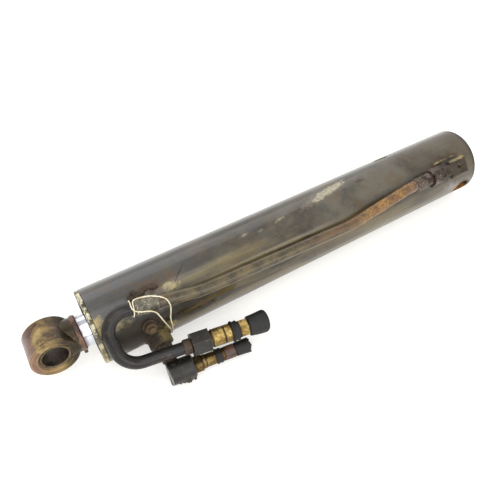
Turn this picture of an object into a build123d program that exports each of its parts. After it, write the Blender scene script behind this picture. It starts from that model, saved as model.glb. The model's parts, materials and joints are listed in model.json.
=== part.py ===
from build123d import *
import math
import os

# Two-stage telescopic hydraulic cylinder, millimetres.
# Origin: centre of the base pin bore. +X: the way the rod extends. +Z: up.
# The barrel lies along X; the hose couplers hang on the +Y side.

# ---- driving dimensions --------------------------------------------------
BARREL_R = 47.5
BORE_R = 40.0
CAP_X = -21.0
TUBE_END_X = 577.0
FACE_X = 582.0

PIN_R = 15.0
BUSH_R = 18.0
BASE_ROLL = -19.0
EYE_ROLL = 5.0
EYE_X = 628.5
EYE_R = 28.4
EYE_WIDTH = 41.5

STAGE_R = 32.5
STAGE_BORE_R = 26.0
STAGE_BACK_X = 46.0
STAGE_FRONT_X = 580.0
ROD_R = 20.0
ROD_BACK_X = 50.0
ROD_END_X = 599.7

PIPE_R = 7.5
PIPE_BORE_R = 6.0
CAP_PORT_ANGLE = 42.0
CAP_PORT_X = 34.0
PIPE_STANDOFF = 60.5
ROD_PORT_ANGLE = -20.3
ROD_PORT_X = 515.0
BLEED_X = 522.0
BLEED_ANGLE = 19.0
FIT = 0.03


def radial_plane(x, angle, radius):
    """Plane touching a cylinder about X, its normal pointing outwards."""
    a = math.radians(angle)
    out = (0, math.cos(a), math.sin(a))
    return Plane(origin=(x, radius * out[1], radius * out[2]), x_dir=(1, 0, 0), z_dir=out)


def axis_plane(point, direction, distance=0.0):
    """Plane across a straight run, a distance along it from its start point."""
    d = Vector(*direction).normalized()
    side = d.cross(Vector(0, 0, 1)).normalized()
    return Plane(origin=Vector(*point) + d * distance, x_dir=side, z_dir=d)


def export(piece, label):
    piece.part.label = label
    export_step(piece.part, "parts/" + label + ".step")


def ring(x0, x1, r_in, r_out, edge=0.0):
    """Closed outline of a plain ring about X, drawn in the XZ plane."""
    return [
        (x0 + edge, r_out), (x1 - edge, r_out), (x1, r_out - edge), (x1, r_in + edge),
        (x1 - edge, r_in), (x0 + edge, r_in), (x0, r_in + edge), (x0, r_out - edge),
    ]


def turned(points, label):
    """Export one piece turned about the X axis from a closed outline."""
    with BuildPart() as piece:
        with BuildSketch(Plane.XZ):
            with BuildLine():
                Polyline(*points, close=True)
            make_face()
        revolve(axis=Axis.X)
    export(piece, label)


def turned_rings(spans, r_in, r_out, edge, label):
    """Export several equal rings about X as one piece of several solids."""
    with BuildPart() as piece:
        for x0, x1 in spans:
            with BuildSketch(Plane.XZ):
                with BuildLine():
                    Polyline(*ring(x0, x1, r_in, r_out, edge), close=True)
                make_face()
            revolve(axis=Axis.X)
    export(piece, label)


os.makedirs("parts", exist_ok=True)

pin_plane = radial_plane(0, BASE_ROLL, 0)
cap_port = radial_plane(CAP_PORT_X, CAP_PORT_ANGLE, 0)
rod_port = radial_plane(ROD_PORT_X, ROD_PORT_ANGLE, 0)
bleed_port = radial_plane(BLEED_X, BLEED_ANGLE, 0)

# ---- barrel --------------------------------------------------------------
with BuildPart() as barrel_tube:
    with BuildSketch(Plane.YZ.offset(CAP_X)):
        Circle(BARREL_R)
        Circle(BORE_R, mode=Mode.SUBTRACT)
    extrude(amount=TUBE_END_X - CAP_X)
    outer_rims = barrel_tube.edges().filter_by(GeomType.CIRCLE).group_by(SortBy.RADIUS)[-1]
    chamfer(outer_rims, 1.0)
    with BuildSketch(pin_plane):
        Circle(BUSH_R + FIT)
    extrude(amount=60, both=True, mode=Mode.SUBTRACT)
    with BuildSketch(cap_port):
        Circle(5)
    extrude(amount=60, mode=Mode.SUBTRACT)
    with BuildSketch(rod_port):
        Circle(5)
    extrude(amount=60, mode=Mode.SUBTRACT)
    with BuildSketch(bleed_port):
        Circle(4.05)
    extrude(amount=60, mode=Mode.SUBTRACT)
export(barrel_tube, "barrel_tube")

# The stop boss keeps the stages clear of the oil inlet when closed.
with BuildPart() as base_plug:
    with BuildSketch(Plane.XZ):
        with BuildLine():
            Polyline(
                (CAP_X + 0.6, 0), (CAP_X + 0.6, 5), (CAP_X, 6), (CAP_X, 37.5), (CAP_X + 2.4, BORE_R - FIT),
                (28, BORE_R - FIT), (28, 25), (45.7, 25), (45.7, 0), close=True,
            )
        make_face()
    revolve(axis=Axis.X)
    with BuildSketch(pin_plane):
        Circle(BUSH_R + FIT)
    extrude(amount=60, both=True, mode=Mode.SUBTRACT)
    with BuildSketch(Plane.YZ.offset(40)):
        Rectangle(8, 60)
        Rectangle(60, 8)
    extrude(amount=6, mode=Mode.SUBTRACT)
export(base_plug, "base_plug")

with BuildPart() as base_bush:
    with BuildSketch(Plane.YZ.offset(-25)):
        Circle(BARREL_R - 0.2)
    extrude(amount=50)
    with BuildSketch(pin_plane):
        Circle(BUSH_R)
        Circle(PIN_R, mode=Mode.SUBTRACT)
    extrude(amount=60, both=True, mode=Mode.INTERSECT)
export(base_bush, "base_bush")

# ---- head gland and its seals --------------------------------------------
with BuildPart() as gland:
    with BuildSketch(Plane.XZ):
        with BuildLine():
            Polyline(
                (500, 36.5), (527, 36.5), (527, BORE_R - FIT), (566.5, BORE_R - FIT), (566.5, 37.6),
                (570.5, 37.6), (570.5, BORE_R - FIT), (TUBE_END_X + 0.1, BORE_R - FIT),
                (TUBE_END_X + 0.1, 47.2), (FACE_X - 1.2, 47.2), (FACE_X, 46), (FACE_X, 35.2),
                (579, 34.4), (579, 36.6), (573, 36.6), (573, 32.8), (566, 32.8), (566, 36.6),
                (558, 36.6), (558, 32.8), (551, 32.8), (551, 34.5), (541, 34.5), (541, 32.8),
                (522, 32.8), (522, 34.5), (512, 34.5), (512, 32.8), (500, 32.8), close=True,
            )
        make_face()
    revolve(axis=Axis.X)
    with BuildSketch(Plane.YZ.offset(FACE_X)):
        with PolarLocations(41, 4, start_angle=45):
            Circle(2.5)
    extrude(amount=-4, mode=Mode.SUBTRACT)
export(gland, "gland")

turned(
    [(573.2, 32.55), (578, 32.55), (582.4, 32.7), (582.4, 33.3), (578.8, 33.9), (578.8, 36.5), (573.2, 36.5)],
    "gland_wiper",
)
turned(ring(558.2, 565.8, STAGE_R + 0.03, 36.5, 0.6), "gland_seal")
turned_rings([(512.1, 521.9), (541.1, 550.9)], STAGE_R + 0.04, 34.45, 0.3, "gland_wear_rings")
with BuildPart() as gland_oring:
    with BuildSketch(Plane.XZ):
        with Locations((568.5, 38.8)):
            Circle(1.15)
    revolve(axis=Axis.X)
export(gland_oring, "gland_oring")

# ---- first moving stage --------------------------------------------------
with BuildPart() as stage_tube:
    with BuildSketch(Plane.XZ):
        with BuildLine():
            Polyline(
                (STAGE_BACK_X, STAGE_BORE_R + 0.6), (STAGE_BACK_X, 28.4), (STAGE_BACK_X + 0.6, 29), (84, 29),
                (84, STAGE_R), (STAGE_FRONT_X - 1.5, STAGE_R), (STAGE_FRONT_X, STAGE_R - 1.5),
                (STAGE_FRONT_X, STAGE_BORE_R), (STAGE_BACK_X + 0.6, STAGE_BORE_R), close=True,
            )
        make_face()
    revolve(axis=Axis.X)
    # Transfer holes let return oil reach the space round the inner rod.
    for side in (Plane.XY, Plane.XZ):
        with BuildSketch(side):
            with Locations((104, 0)):
                Circle(3)
        extrude(amount=60, both=True, mode=Mode.SUBTRACT)
export(stage_tube, "stage_tube")

turned(
    [
        (54.1, 29 + FIT), (54.1, 38.9), (54.7, 39.5), (57, 39.5), (57, 37.5), (61.5, 37.5), (61.5, 39.5),
        (64, 39.5), (64, 33), (72, 33), (72, 39.5), (75, 39.5), (75, 37.5), (79.5, 37.5), (79.5, 39.5),
        (83.3, 39.5), (83.9, 38.9), (83.9, 29 + FIT),
    ],
    "stage_piston",
)
with BuildPart() as stage_nut:
    with BuildSketch(Plane.YZ.offset(STAGE_BACK_X + 0.3)):
        Circle(36)
        Circle(29 + FIT, mode=Mode.SUBTRACT)
        with PolarLocations(36, 4):
            Rectangle(5, 6, mode=Mode.SUBTRACT)
    extrude(amount=7.6)
export(stage_nut, "stage_nut")
turned(ring(64.1, 71.9, 33.05, BORE_R - 0.03, 0.6), "stage_piston_seal")
turned_rings([(57.1, 61.4), (75.1, 79.4)], 37.55, BORE_R - 0.04, 0.3, "stage_wear_rings")

turned(
    [
        (540, 21), (540, 25.4), (540.5, STAGE_BORE_R - FIT), (579.4, STAGE_BORE_R - FIT), (580, 25.4),
        (580, 22), (578, 21.4), (578, 24), (573, 24), (573, 20.3), (567, 20.3), (567, 24), (560, 24),
        (560, 20.3), (556, 20.3), (556, 22.5), (544, 22.5), (544, 20.3), (540.6, 20.3),
    ],
    "stage_gland",
)
turned(
    [(573.1, 20.05), (577, 20.05), (580.4, 20.15), (580.4, 20.7), (577.9, 21.2), (577.9, 23.9), (573.1, 23.9)],
    "stage_wiper",
)
turned(ring(560.1, 566.9, ROD_R + 0.03, 23.9, 0.5), "stage_rod_seal")
turned(ring(544.1, 555.9, ROD_R + 0.04, 22.45, 0.3), "stage_guide_ring")

# ---- second stage: the plated rod with its piston and eye ------------------
turned(
    [
        (ROD_BACK_X, 0), (ROD_BACK_X, 12.5), (ROD_BACK_X + 1.5, 14), (98, 14), (98, 19.2), (98.8, ROD_R),
        (ROD_END_X, ROD_R), (ROD_END_X, 0),
    ],
    "rod",
)
turned(
    [
        (66.1, 14 + FIT), (66.1, 25), (66.6, 25.5), (68.5, 25.5), (68.5, 23.8), (73, 23.8), (73, 25.5),
        (77, 25.5), (77, 20.5), (85, 20.5), (85, 25.5), (89, 25.5), (89, 23.8), (93.5, 23.8), (93.5, 25.5),
        (97.4, 25.5), (97.9, 25), (97.9, 14 + FIT),
    ],
    "rod_piston",
)
with BuildPart() as rod_nut:
    with BuildSketch(Plane.YZ.offset(53)):
        RegularPolygon(radius=20.5, side_count=6, major_radius=False)
        Circle(14 + FIT, mode=Mode.SUBTRACT)
    extrude(amount=13)
export(rod_nut, "rod_nut")
turned(ring(77.1, 84.9, 20.55, STAGE_BORE_R - 0.03, 0.5), "rod_piston_seal")
turned_rings([(68.6, 72.9), (89.1, 93.4)], 23.85, STAGE_BORE_R - 0.04, 0.3, "rod_wear_rings")

turned(
    [(592.6, ROD_R + FIT), (592.6, 21.6), (594.2, 23), (598, 23), (599.6, 21.8), (599.6, ROD_R + FIT)],
    "rod_collar",
)

eye_plane = Plane(
    origin=(EYE_X, 0, 0), x_dir=(1, 0, 0),
    z_dir=(0, math.cos(math.radians(EYE_ROLL)), math.sin(math.radians(EYE_ROLL))),
)
with BuildPart() as rod_eye:
    with BuildSketch(eye_plane):
        Circle(EYE_R)
    extrude(amount=EYE_WIDTH / 2, both=True)
    chamfer(rod_eye.edges().filter_by(GeomType.CIRCLE), 1.6)
    with BuildSketch(Plane.YZ.offset(599.9)):
        Circle(21.5)
    extrude(amount=16, taper=-6)
    with BuildSketch(eye_plane):
        Circle(BUSH_R + FIT)
    extrude(amount=60, both=True, mode=Mode.SUBTRACT)
    for flip in (1, -1):
        with BuildSketch(eye_plane.offset(flip * EYE_WIDTH / 2)):
            Circle(BUSH_R + 2.4)
        extrude(amount=-2.4 * flip, taper=45, mode=Mode.SUBTRACT)
export(rod_eye, "rod_eye")

with BuildPart() as eye_bush:
    with BuildSketch(eye_plane):
        Circle(BUSH_R)
        Circle(PIN_R, mode=Mode.SUBTRACT)
    extrude(amount=EYE_WIDTH / 2 - 1.2, both=True)
    chamfer(eye_bush.edges().filter_by(GeomType.CIRCLE), 0.8)
export(eye_bush, "eye_bush")

# ---- cap-end port: welded block, plug, adaptor, nut, ferrule ---------------
cap_y = PIPE_STANDOFF * math.cos(math.radians(CAP_PORT_ANGLE))
cap_z = PIPE_STANDOFF * math.sin(math.radians(CAP_PORT_ANGLE))
cap_line = (0, cap_y, cap_z)
along_x = (1, 0, 0)

with BuildPart() as cap_port_block:
    with BuildSketch(radial_plane(CAP_PORT_X, CAP_PORT_ANGLE, 42.5)):
        Rectangle(32, 24)
    extrude(amount=27)
    fillet(cap_port_block.faces().filter_by(GeomType.PLANE).sort_by(Axis.Z)[-1].edges(), 2.5)
    with BuildSketch(Plane.YZ):
        Circle(BARREL_R + 0.05)
    extrude(amount=70, mode=Mode.SUBTRACT)
    with BuildSketch(axis_plane(cap_line, along_x, 34)):
        Circle(5)
    extrude(amount=20, mode=Mode.SUBTRACT)
    with BuildSketch(axis_plane(cap_line, along_x, 39.2)):
        Circle(7)
    extrude(amount=20, mode=Mode.SUBTRACT)
    with BuildSketch(cap_port):
        Circle(4)
    extrude(amount=70, mode=Mode.SUBTRACT)
    with BuildSketch(radial_plane(CAP_PORT_X, CAP_PORT_ANGLE, 65.4)):
        Circle(5.05)
    extrude(amount=10, mode=Mode.SUBTRACT)
export(cap_port_block, "cap_port_block")

with BuildPart() as cap_port_plug:
    with BuildSketch(radial_plane(CAP_PORT_X, CAP_PORT_ANGLE, 65.5)):
        Circle(5)
    extrude(amount=3.5)
    with BuildSketch(radial_plane(CAP_PORT_X, CAP_PORT_ANGLE, 69)):
        RegularPolygon(radius=2.5, side_count=6, major_radius=False)
    extrude(amount=-2.6, mode=Mode.SUBTRACT)
export(cap_port_plug, "cap_port_plug")

with BuildPart() as cap_adaptor:
    with BuildSketch(axis_plane(cap_line, along_x, 39.4)):
        Circle(6.95)
    extrude(amount=10.8)
    with BuildSketch(axis_plane(cap_line, along_x, 50.2)):
        RegularPolygon(radius=10.6, side_count=6, major_radius=False, rotation=20)
    extrude(amount=14)
    with BuildSketch(axis_plane(cap_line, along_x, 64.2)):
        Circle(9.6)
    extrude(amount=14)
    with BuildSketch(axis_plane(cap_line, along_x, 37)):
        Circle(5)
    extrude(amount=50, mode=Mode.SUBTRACT)
    with BuildSketch(axis_plane(cap_line, along_x, 70)):
        Circle(PIPE_R + 0.05)
    extrude(amount=20, mode=Mode.SUBTRACT)
export(cap_adaptor, "cap_adaptor")

with BuildPart() as cap_pipe_nut:
    with BuildSketch(axis_plane(cap_line, along_x, 66.5)):
        RegularPolygon(radius=12, side_count=6, major_radius=False, rotation=8)
    extrude(amount=17.5)
    with BuildSketch(axis_plane(cap_line, along_x, 66.5)):
        Circle(12.6)
    extrude(amount=17.5, mode=Mode.INTERSECT)
    with BuildSketch(axis_plane(cap_line, along_x, 66)):
        Circle(9.65)
    extrude(amount=12.4, mode=Mode.SUBTRACT)
    with BuildSketch(axis_plane(cap_line, along_x, 78)):
        Circle(PIPE_R + 0.15)
    extrude(amount=10, mode=Mode.SUBTRACT)
export(cap_pipe_nut, "cap_pipe_nut")

with BuildPart() as cap_ferrule:
    with BuildSketch(axis_plane(cap_line, along_x, 84.2)):
        Circle(9.2)
    extrude(amount=28)
    chamfer(cap_ferrule.edges().filter_by(GeomType.CIRCLE), 1)
    with BuildSketch(axis_plane(cap_line, along_x, 84)):
        Circle(PIPE_R + 0.05)
    extrude(amount=30, mode=Mode.SUBTRACT)
export(cap_ferrule, "cap_ferrule")

# ---- rigid pipes -----------------------------------------------------------
sleeve_mid = (519, 39.35, 47.5)
sleeve_dir = (54, -5.2, 9.6)


def on_sleeve(distance):
    """Point on the line both pipes share inside their joining sleeve."""
    return Vector(*sleeve_mid) + Vector(*sleeve_dir).normalized() * distance


def swept_pipe(points, radii, label):
    """Export a pipe of straight runs joined by tangent bends."""
    start = Vector(*points[0])
    across = Plane(origin=start, z_dir=Vector(*points[1]) - start)
    with BuildPart() as piece:
        with BuildLine():
            FilletPolyline(*points, radius=radii)
        with BuildSketch(across):
            Circle(PIPE_R)
            Circle(PIPE_BORE_R, mode=Mode.SUBTRACT)
        sweep()
    export(piece, label)


long_route = [(70.3, cap_y, cap_z), (122, cap_y, cap_z), (228, 49.2, 27.4), (450, 46.0, 35.2), on_sleeve(-0.8)]
swept_pipe(long_route, [110, 130, 130], "long_pipe")

LEG_START = (567, 71.2, -1.5)
LEG_DIR = (-1, 0.146, -0.045)


def on_leg(distance):
    """Point on the line shared by the loop's lower leg and coupler 1."""
    return Vector(*LEG_START) + Vector(*LEG_DIR).normalized() * distance


loop_route = [on_sleeve(0.8), on_sleeve(52), LEG_START, on_leg(89)]
swept_pipe(loop_route, [23, 27], "loop_pipe")

with BuildPart() as pipe_sleeve:
    with BuildSketch(axis_plane(on_sleeve(-14), sleeve_dir)):
        Circle(9.6)
    extrude(amount=27)
    chamfer(pipe_sleeve.edges().filter_by(GeomType.CIRCLE), 1.2)
    with BuildSketch(axis_plane(on_sleeve(-15), sleeve_dir)):
        Circle(PIPE_R + 0.05)
    extrude(amount=30, mode=Mode.SUBTRACT)
export(pipe_sleeve, "pipe_sleeve")

# Welded tab beside the sleeve that carries the pipe's end.
with BuildPart() as pipe_tab:
    with BuildSketch(radial_plane(528, 66.5, 46)):
        Rectangle(30, 9)
    extrude(amount=15)
    fillet(pipe_tab.edges().filter_by(Axis.X), 2)
    with BuildSketch(Plane.YZ.offset(500)):
        Circle(BARREL_R + 0.05)
    extrude(amount=60, mode=Mode.SUBTRACT)
export(pipe_tab, "pipe_tab")

# ---- rod-end port, elbow block and bleed plug --------------------------------
with BuildPart() as rod_port_boss:
    with BuildSketch(radial_plane(ROD_PORT_X, ROD_PORT_ANGLE, 43)):
        Circle(15)
    extrude(amount=17)
    chamfer(rod_port_boss.edges().filter_by(GeomType.CIRCLE), 1.2)
    with BuildSketch(Plane.YZ.offset(490)):
        Circle(BARREL_R + 0.05)
    extrude(amount=50, mode=Mode.SUBTRACT)
    with BuildSketch(rod_port):
        Circle(5)
    extrude(amount=70, mode=Mode.SUBTRACT)
    with BuildSketch(radial_plane(ROD_PORT_X, ROD_PORT_ANGLE, 50)):
        Circle(8)
    extrude(amount=20, mode=Mode.SUBTRACT)
export(rod_port_boss, "rod_port_boss")

with BuildPart() as rod_adaptor:
    with BuildSketch(radial_plane(ROD_PORT_X, ROD_PORT_ANGLE, 50.2)):
        Circle(7.95)
    extrude(amount=36.5)
    with BuildSketch(radial_plane(ROD_PORT_X, ROD_PORT_ANGLE, 60.1)):
        RegularPolygon(radius=9.6, side_count=6, major_radius=False)
    extrude(amount=11)
    with BuildSketch(radial_plane(ROD_PORT_X, ROD_PORT_ANGLE, 71.1)):
        Circle(9.3)
    extrude(amount=9)
    with BuildSketch(radial_plane(ROD_PORT_X, ROD_PORT_ANGLE, 50)):
        Circle(4.5)
    extrude(amount=50, mode=Mode.SUBTRACT)
export(rod_adaptor, "rod_adaptor")

BLOCK_START = (524.2, 87.9, -33.0)
BLOCK_DIR = (-0.99, 0.141, 0)
with BuildPart() as elbow_block:
    with BuildSketch(axis_plane(BLOCK_START, BLOCK_DIR)):
        Circle(14.5)
    extrude(amount=32)
    chamfer(elbow_block.edges().filter_by(GeomType.CIRCLE), 1.6)
    with BuildSketch(radial_plane(ROD_PORT_X, ROD_PORT_ANGLE, 70)):
        Circle(12)
    extrude(amount=10.4, mode=Mode.SUBTRACT)
    with BuildSketch(radial_plane(ROD_PORT_X, ROD_PORT_ANGLE, 70)):
        Circle(8)
    extrude(amount=17, mode=Mode.SUBTRACT)
    with BuildSketch(radial_plane(ROD_PORT_X, ROD_PORT_ANGLE, 70)):
        Circle(4.5)
    extrude(amount=25, mode=Mode.SUBTRACT)
    with BuildSketch(axis_plane(BLOCK_START, BLOCK_DIR, 9)):
        Circle(4.5)
    extrude(amount=30, mode=Mode.SUBTRACT)
    with BuildSketch(axis_plane(BLOCK_START, BLOCK_DIR, 21)):
        Circle(8)
    extrude(amount=30, mode=Mode.SUBTRACT)
export(elbow_block, "elbow_block")

with BuildPart() as bleed_plug:
    with BuildSketch(radial_plane(BLEED_X, BLEED_ANGLE, 41)):
        Circle(4)
    extrude(amount=8)
    with BuildSketch(radial_plane(BLEED_X, BLEED_ANGLE, 47.8)):
        Circle(8.5)
    extrude(amount=2.2)
    with BuildSketch(radial_plane(BLEED_X, BLEED_ANGLE, 50)):
        RegularPolygon(radius=6.5, side_count=6, major_radius=False)
    extrude(amount=6)
    with BuildSketch(radial_plane(BLEED_X, BLEED_ANGLE, 56)):
        Circle(3.5)
    extrude(amount=4)
export(bleed_plug, "bleed_plug")

# ---- pipe nut and ferrule on the loop's lower leg -----------------------------
with BuildPart() as loop_ferrule:
    with BuildSketch(axis_plane(on_leg(70), LEG_DIR)):
        Circle(9.4)
    extrude(amount=9.5)
    chamfer(loop_ferrule.edges().filter_by(GeomType.CIRCLE), 1)
    with BuildSketch(axis_plane(on_leg(69), LEG_DIR)):
        Circle(PIPE_R + 0.05)
    extrude(amount=12, mode=Mode.SUBTRACT)
export(loop_ferrule, "loop_ferrule")

with BuildPart() as loop_nut:
    with BuildSketch(axis_plane(on_leg(79.8), LEG_DIR)):
        RegularPolygon(radius=13.5, side_count=6, major_radius=False)
    extrude(amount=22)
    with BuildSketch(axis_plane(on_leg(79), LEG_DIR)):
        Circle(PIPE_R + 0.15)
    extrude(amount=12, mode=Mode.SUBTRACT)
    with BuildSketch(axis_plane(on_leg(89.4), LEG_DIR)):
        Circle(9.05)
    extrude(amount=20, mode=Mode.SUBTRACT)
export(loop_nut, "loop_nut")


# ---- quick couplers: body, band, poppet, dust cap ------------------------------
def coupler_half(point, direction, outline, bore, label):
    """Turned coupler body: outline is (length, radius) steps from its start."""
    distance = 0.0
    with BuildPart() as piece:
        for length, radius, sides in outline:
            with BuildSketch(axis_plane(point, direction, distance)):
                if sides:
                    RegularPolygon(radius=radius, side_count=sides, major_radius=False)
                else:
                    Circle(radius)
            extrude(amount=length)
            distance = distance + length
        with BuildSketch(axis_plane(point, direction)):
            Circle(bore)
        extrude(amount=distance - 6, mode=Mode.SUBTRACT)
        with BuildSketch(axis_plane(point, direction, distance - 6)):
            Circle(3.35)
        extrude(amount=8, mode=Mode.SUBTRACT)
    export(piece, label)


def poppet(point, direction, label):
    """Valve poppet: guide head behind the seat, stem showing at the coupler's nose."""
    with BuildPart() as piece:
        with BuildSketch(axis_plane(point, direction, -13)):
            Circle(4.2)
        extrude(amount=6.5)
        with BuildSketch(axis_plane(point, direction, -6.5)):
            Circle(3.2)
        extrude(amount=6.5)
    export(piece, label)


def dust_cap(point, direction, inner_r, outer_r, flare, depth, length, label):
    """Rubber cap, a cup whose mouth faces back along its direction."""
    with BuildPart() as piece:
        with BuildSketch(axis_plane(point, direction)):
            Circle(outer_r)
        with BuildSketch(axis_plane(point, direction, length * 0.72)):
            Circle(outer_r + flare)
        loft()
        with BuildSketch(axis_plane(point, direction, length * 0.72)):
            Circle(outer_r + flare)
        extrude(amount=length * 0.28)
        fillet(piece.edges().filter_by(GeomType.CIRCLE).sort_by(Axis.X)[0], 3.5)
        with BuildSketch(axis_plane(point, direction)):
            Circle(inner_r)
        extrude(amount=depth, mode=Mode.SUBTRACT)
    export(piece, label)


def band(point, direction, inner_r, outer_r, length, label):
    """Rubber band stretched round a coupler body."""
    with BuildPart() as piece:
        with BuildSketch(axis_plane(point, direction)):
            Circle(outer_r)
        extrude(amount=length)
        fillet(piece.edges().filter_by(GeomType.CIRCLE), 1.6)
        with BuildSketch(axis_plane(point, direction)):
            Circle(inner_r)
        extrude(amount=length, mode=Mode.SUBTRACT)
    export(piece, label)


c1_outline = [(12, 8.95, 0), (3.2, 10, 0), (14.2, 11, 0), (1.2, 9.6, 0), (8.6, 11, 0), (10.2, 9.6, 0),
              (11.8, 10, 6), (18, 8.2, 0)]
coupler_half(on_leg(90), LEG_DIR, c1_outline, 4.5, "coupler_body_1")
band(on_leg(129.4), LEG_DIR, 9.7, 13.2, 9.8, "coupler_band_1")
poppet(on_leg(169.2), LEG_DIR, "poppet_1")
dust_cap(on_leg(151.6), LEG_DIR, 8.35, 11.4, 1.8, 18.5, 25, "dust_cap_1")


def on_block(distance):
    """Point on the line shared by the elbow block and coupler 2."""
    return Vector(*BLOCK_START) + Vector(*BLOCK_DIR).normalized() * distance


c2_outline = [(9.8, 7.95, 0), (9.6, 10, 6), (5, 8.8, 0), (12.5, 8.2, 0), (8.4, 7.4, 0), (3, 8.4, 0),
              (28, 6.9, 0)]
coupler_half(on_block(22.3), BLOCK_DIR, c2_outline, 4.5, "coupler_body_2")
band(on_block(59.4), BLOCK_DIR, 7.5, 9.6, 8, "coupler_band_2")
poppet(on_block(98.6), BLOCK_DIR, "poppet_2")

# Brown plastic lock ring, pushed on between the band and the cap.
with BuildPart() as lock_ring:
    with BuildSketch(axis_plane(on_block(70.8), BLOCK_DIR)):
        Circle(8.6)
    extrude(amount=14)
    chamfer(lock_ring.edges().filter_by(GeomType.CIRCLE), 0.8)
    with BuildSketch(axis_plane(on_block(70.8), BLOCK_DIR)):
        Circle(6.95)
    extrude(amount=14, mode=Mode.SUBTRACT)
export(lock_ring, "lock_ring")
dust_cap(on_block(85.1), BLOCK_DIR, 7.05, 8.9, 0.6, 14.5, 21, "dust_cap_2")

# ---- tied string: a label tie looped over the pipe, both ends down the barrel ---
STRING_R = 0.8


def on_barrel(x, angle, lift=1.15):
    """Point just above the barrel's outside."""
    a = math.radians(angle)
    r = BARREL_R + lift
    return (x, r * math.cos(a), r * math.sin(a))


def around_pipe(distance, angle, radius):
    """Point beside the sleeve's line; angle 0 faces +Y and 90 faces up."""
    d = Vector(*sleeve_dir).normalized()
    out = Vector(0, 0, 1).cross(d).normalized()
    up = d.cross(out)
    a = math.radians(angle)
    return on_sleeve(distance) + out * (radius * math.cos(a)) + up * (radius * math.sin(a))


def arc_radii(points):
    """Largest arc at each corner that leaves a tenth of the shorter run straight."""
    found = []
    for before, here, after in zip(points, points[1:], points[2:]):
        arriving = Vector(*here) - Vector(*before)
        leaving = Vector(*after) - Vector(*here)
        turn = math.radians(arriving.get_angle(leaving))
        found.append(0.45 * min(arriving.length, leaving.length) / math.tan(turn / 2))
    return found


first_end = [on_barrel(496, angle, 1.6) for angle in (-56, -40, -24, -9)]
second_end = [on_barrel(498.2, angle, 1.6) for angle in (-9, -24, -40, -56)]
wrap = [around_pipe(14.9 + 0.4 * k, 100 - 52 * k, 10.3) for k in range(8)]
string_route = first_end + [
    (496.9, 52.4, 9), (497.8, 52.9, 22), (498.2, 51.8, 34), (499.3, 49.6, 48.2), (503.6, 43.2, 57),
    around_pipe(-6, 98, 12.4), around_pipe(4, 103, 12.4), around_pipe(11, 106, 11.6),
] + wrap + [
    around_pipe(18, 44, 11.4), around_pipe(11, 24, 12.4), around_pipe(-2, 14, 12.2), (511.5, 51.8, 42.5),
    (508.6, 52.6, 32), (503.8, 52.3, 14), (500.2, 50.2, 0),
] + second_end
string_arcs = arc_radii(string_route)
print("string arc radii", [round(r, 1) for r in string_arcs])
string_start = Vector(*string_route[0])
with BuildPart() as tie_string:
    with BuildLine() as string_line:
        FilletPolyline(*string_route, radius=string_arcs)
    with BuildSketch(Plane(origin=string_start, z_dir=Vector(*string_route[1]) - string_start)):
        Circle(STRING_R)
    sweep()
string_length = string_line.wires()[0].length
print("string length", round(string_length, 1))
print("string volume over section times length", tie_string.part.volume / (math.pi * STRING_R**2 * string_length))
export(tie_string, "tie_string")

# Both ends of the string are tied together under the barrel.
with BuildPart() as string_knot:
    with BuildSketch(axis_plane(on_barrel(497.1, -58.6, 2), (1, 0, 0), -2.4)):
        Circle(1.3)
    with BuildSketch(axis_plane(on_barrel(497.1, -58.6, 2), (1, 0, 0))):
        Circle(1.9)
    with BuildSketch(axis_plane(on_barrel(497.1, -58.6, 2), (1, 0, 0), 2.4)):
        Circle(1.3)
    loft()
export(string_knot, "string_knot")
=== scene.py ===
"""Looks for the telescopic hydraulic cylinder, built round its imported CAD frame.

Metres throughout. +X is the way the rod extends, +Z is up, and the couplers
hang on the +Y side. The part lies on a pale floor.
"""
import json
import math

import bmesh
import bpy
from mathutils import Matrix, Vector, noise


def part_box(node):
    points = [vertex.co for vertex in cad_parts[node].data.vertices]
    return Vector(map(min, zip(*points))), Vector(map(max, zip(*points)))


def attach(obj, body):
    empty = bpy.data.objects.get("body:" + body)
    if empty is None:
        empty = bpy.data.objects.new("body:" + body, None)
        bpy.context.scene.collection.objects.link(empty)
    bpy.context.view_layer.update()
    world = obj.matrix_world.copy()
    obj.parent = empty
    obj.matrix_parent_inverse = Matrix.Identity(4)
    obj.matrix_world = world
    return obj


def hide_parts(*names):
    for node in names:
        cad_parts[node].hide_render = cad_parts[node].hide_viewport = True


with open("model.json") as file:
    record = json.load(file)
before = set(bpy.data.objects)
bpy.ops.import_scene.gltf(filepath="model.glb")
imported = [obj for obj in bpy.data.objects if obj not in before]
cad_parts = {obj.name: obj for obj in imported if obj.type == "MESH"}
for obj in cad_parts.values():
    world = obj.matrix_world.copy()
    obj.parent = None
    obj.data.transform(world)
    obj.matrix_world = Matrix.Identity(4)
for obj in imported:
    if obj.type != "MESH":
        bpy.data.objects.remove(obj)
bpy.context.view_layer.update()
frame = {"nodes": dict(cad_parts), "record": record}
nodes = frame["nodes"]
MM = 0.001

# ---- places and sizes -------------------------------------------------------
tube_low, tube_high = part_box("barrel_tube")
BARREL_R = (tube_high.y - tube_low.y) / 2
FLOOR_Z = tube_low.z
block_low, block_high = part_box("cap_port_block")

# the line of coupler 1, along its pipe leg, and of coupler 2, out of the elbow block
LEG_START = Vector((0.567, 0.0712, -0.0015))
LEG_DIR = Vector((-1, 0.146, -0.045)).normalized()
BLOCK_START = Vector((0.5242, 0.0879, -0.033))
BLOCK_DIR = Vector((-0.99, 0.141, 0)).normalized()


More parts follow.
